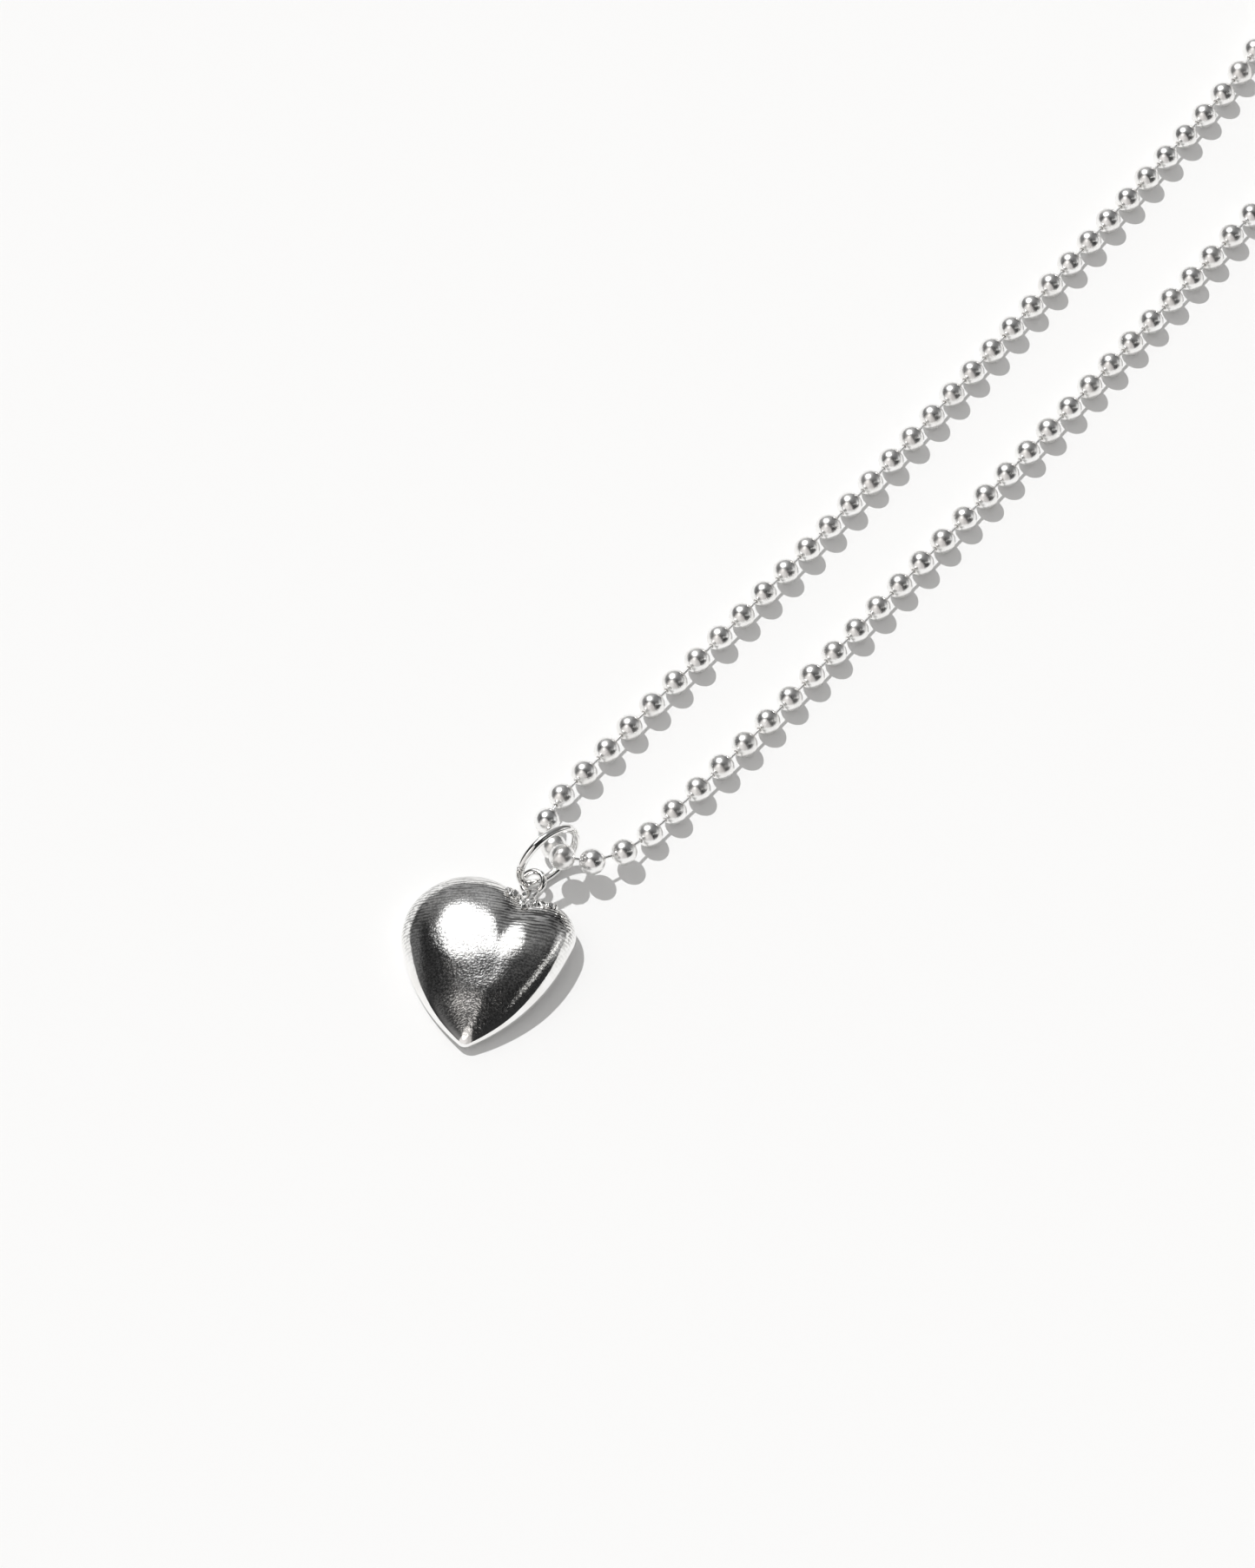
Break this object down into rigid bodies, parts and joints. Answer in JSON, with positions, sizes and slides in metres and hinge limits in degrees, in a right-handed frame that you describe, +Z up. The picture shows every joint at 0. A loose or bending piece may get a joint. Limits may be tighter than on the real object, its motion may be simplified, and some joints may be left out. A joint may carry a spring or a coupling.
{
  "type": "heart pendant on a ball chain necklace",
  "caption": "Puffed silver heart with a soldered eye, hung by an oval jump ring on a fine ball chain loop, lying flat.",
  "frame": {"origin": "middle of the necklace's outline as it lies, on the surface that it lies on", "axes": "+Y along the chain's two strands from the heart to the coupling, +Z up from the surface, +X across the strands"},
  "size_m": [0.0464, 0.2083, 0.006],
  "materials": {
    "heart_silver": "satin brushed silver, polished along the rim",
    "ring_silver": "polished silver wire",
    "chain_silver": "bright polished silver"
  },
  "bodies": {
    "root": {"heart": "heart_silver", "bail_ring": "ring_silver", "chain_balls": "chain_silver", "chain_pins": "chain_silver", "coupling": "chain_silver"}
  },
  "joints": []
}
